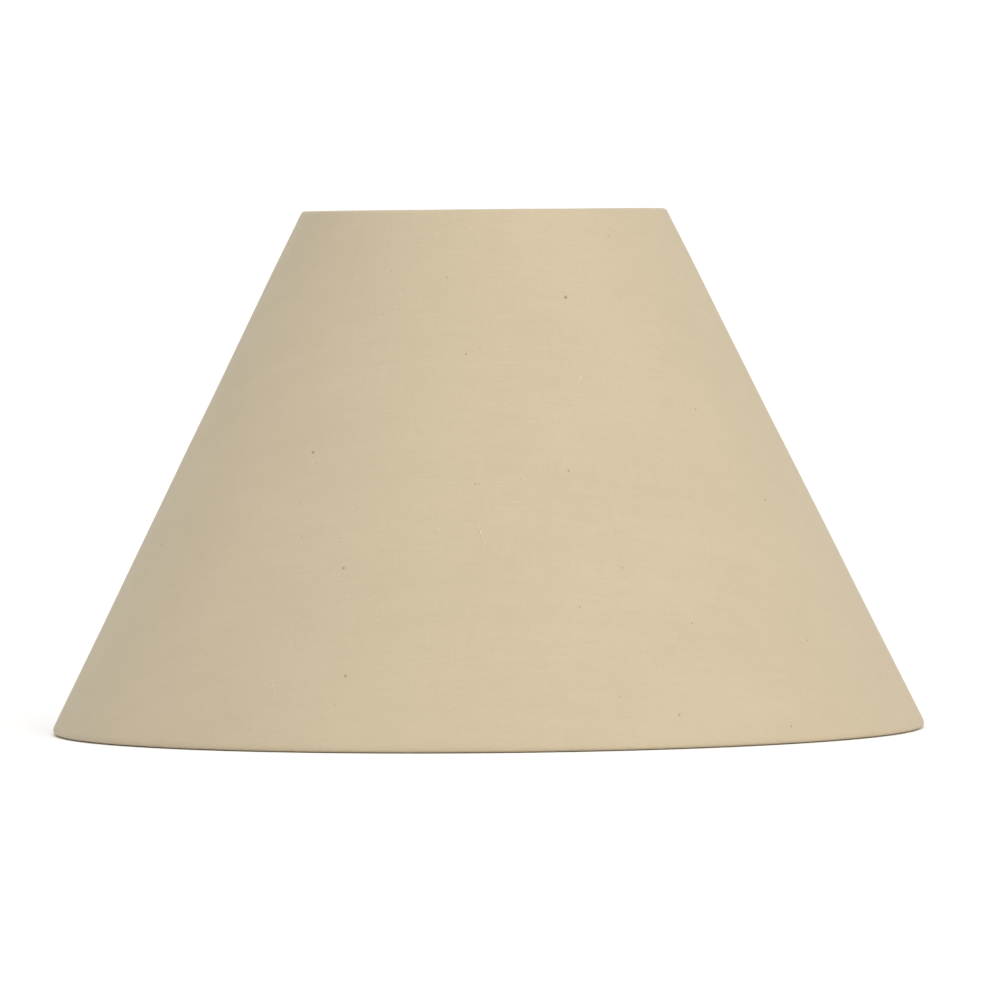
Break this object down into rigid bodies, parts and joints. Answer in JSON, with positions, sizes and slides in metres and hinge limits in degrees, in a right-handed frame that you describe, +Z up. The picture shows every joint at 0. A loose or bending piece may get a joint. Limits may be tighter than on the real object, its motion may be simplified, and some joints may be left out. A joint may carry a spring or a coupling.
{
  "type": "cone lamp shade",
  "caption": "Fabric cone lamp shade on wire rings, stiff white liner, rolled rims, lapped back seam and a reversible swinging lampholder ring with a reducer.",
  "frame": {"origin": "centre of the lower rim, on the plane that the rim stands on", "axes": "+Z up along the cone's axis, +Y towards the lap seam at the back, X along the gimbal's pivots"},
  "size_m": [0.3048, 0.305, 0.1826],
  "materials": {
    "cover_fabric": "matt oatmeal cotton, fine plain weave with faint slubs",
    "liner": "white plastic sheet, soft sheen",
    "seam_tape": "double-sided tissue tape",
    "ring_steel": "bright drawn wire",
    "fitter_enamel": "white powder coat, satin",
    "reducer_plastic": "moulded white plastic, semi-gloss"
  },
  "bodies": {
    "shade": {"cover_fabric": "cover_fabric", "liner": "liner", "seam_tape": "seam_tape", "top_ring": "ring_steel", "bottom_ring": "ring_steel", "pivot_lug_left": "fitter_enamel", "pivot_lug_right": "fitter_enamel"},
    "gimbal": {"gimbal_arm_left": "fitter_enamel", "gimbal_arm_right": "fitter_enamel", "holder_ring": "fitter_enamel"},
    "reducer": {"reducer_ring": "reducer_plastic"}
  },
  "joints": [
    {"name": "gimbal_turn", "type": "hinge", "parent": "shade", "child": "gimbal", "pos_m": [0, 0, 0.1745], "axis": [1, 0, 0], "continuous": true},
    {"name": "reducer_lift", "type": "slide", "parent": "gimbal", "child": "reducer", "axis": [0, 0, 1], "range_m": [0, 0.02]}
  ]
}
